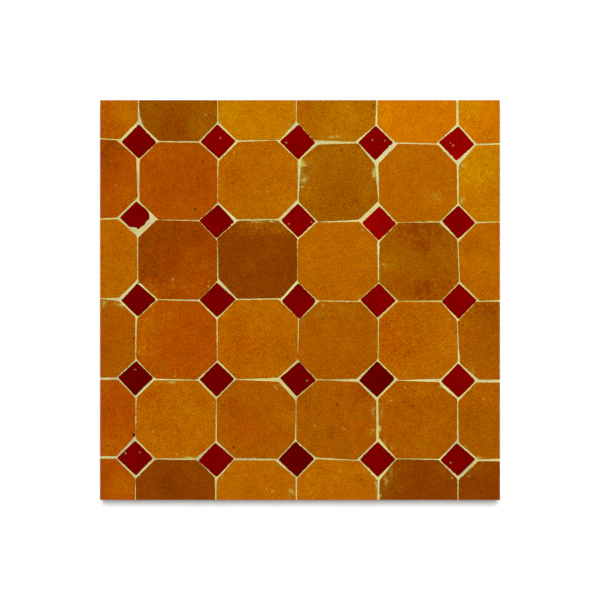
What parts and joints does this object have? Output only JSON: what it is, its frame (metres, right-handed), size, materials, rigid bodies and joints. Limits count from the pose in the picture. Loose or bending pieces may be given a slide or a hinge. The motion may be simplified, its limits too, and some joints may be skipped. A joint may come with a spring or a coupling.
{
  "type": "moroccan mosaic tile panel",
  "caption": "Square zellige mosaic panel: hand-cut amber glazed octagons with small red square dots in their corners, bedded and jointed in cream mortar.",
  "frame": {"origin": "middle of the flat back face of the mortar bed", "axes": "+Z out of the glazed face; +Y towards the top edge of the pattern and +X towards its right edge, seen from the glazed side"},
  "size_m": [0.3, 0.3, 0.018],
  "materials": {
    "amber_glaze": "gloss",
    "red_glaze": "gloss",
    "mortar": "matte"
  },
  "bodies": {
    "root": {"cabochon_r0_c0": "red_glaze", "cabochon_r0_c1": "red_glaze", "cabochon_r0_c2": "red_glaze", "cabochon_r0_c3": "red_glaze", "cabochon_r0_c4": "red_glaze", "cabochon_r1_c0": "red_glaze", "cabochon_r1_c1": "red_glaze", "cabochon_r1_c2": "red_glaze", "cabochon_r1_c3": "red_glaze", "cabochon_r1_c4": "red_glaze", "cabochon_r2_c0": "red_glaze", "cabochon_r2_c1": "red_glaze", "cabochon_r2_c2": "red_glaze", "cabochon_r2_c3": "red_glaze", "cabochon_r2_c4": "red_glaze", "cabochon_r3_c0": "red_glaze", "cabochon_r3_c1": "red_glaze", "cabochon_r3_c2": "red_glaze", "cabochon_r3_c3": "red_glaze", "cabochon_r3_c4": "red_glaze", "cabochon_r4_c0": "red_glaze", "cabochon_r4_c1": "red_glaze", "cabochon_r4_c2": "red_glaze", "cabochon_r4_c3": "red_glaze", "cabochon_r4_c4": "red_glaze", "half_octagon_bottom_1": "amber_glaze", "half_octagon_bottom_2": "amber_glaze", "half_octagon_bottom_3": "amber_glaze", "half_octagon_bottom_4": "amber_glaze", "half_octagon_left_1": "amber_glaze", "half_octagon_left_2": "amber_glaze", "half_octagon_left_3": "amber_glaze", "half_octagon_left_4": "amber_glaze", "half_octagon_right_1": "amber_glaze", "half_octagon_right_2": "amber_glaze", "half_octagon_right_3": "amber_glaze", "half_octagon_right_4": "amber_glaze", "half_octagon_top_1": "amber_glaze", "half_octagon_top_2": "amber_glaze", "half_octagon_top_3": "amber_glaze", "half_octagon_top_4": "amber_glaze", "mortar_bed": "mortar", "octagon_r1_c1": "amber_glaze", "octagon_r1_c2": "amber_glaze", "octagon_r1_c3": "amber_glaze", "octagon_r1_c4": "amber_glaze", "octagon_r2_c1": "amber_glaze", "octagon_r2_c2": "amber_glaze", "octagon_r2_c3": "amber_glaze", "octagon_r2_c4": "amber_glaze", "octagon_r3_c1": "amber_glaze", "octagon_r3_c2": "amber_glaze", "octagon_r3_c3": "amber_glaze", "octagon_r3_c4": "amber_glaze", "octagon_r4_c1": "amber_glaze", "octagon_r4_c2": "amber_glaze", "octagon_r4_c3": "amber_glaze", "octagon_r4_c4": "amber_glaze", "quarter_octagons": "amber_glaze"}
  },
  "joints": []
}
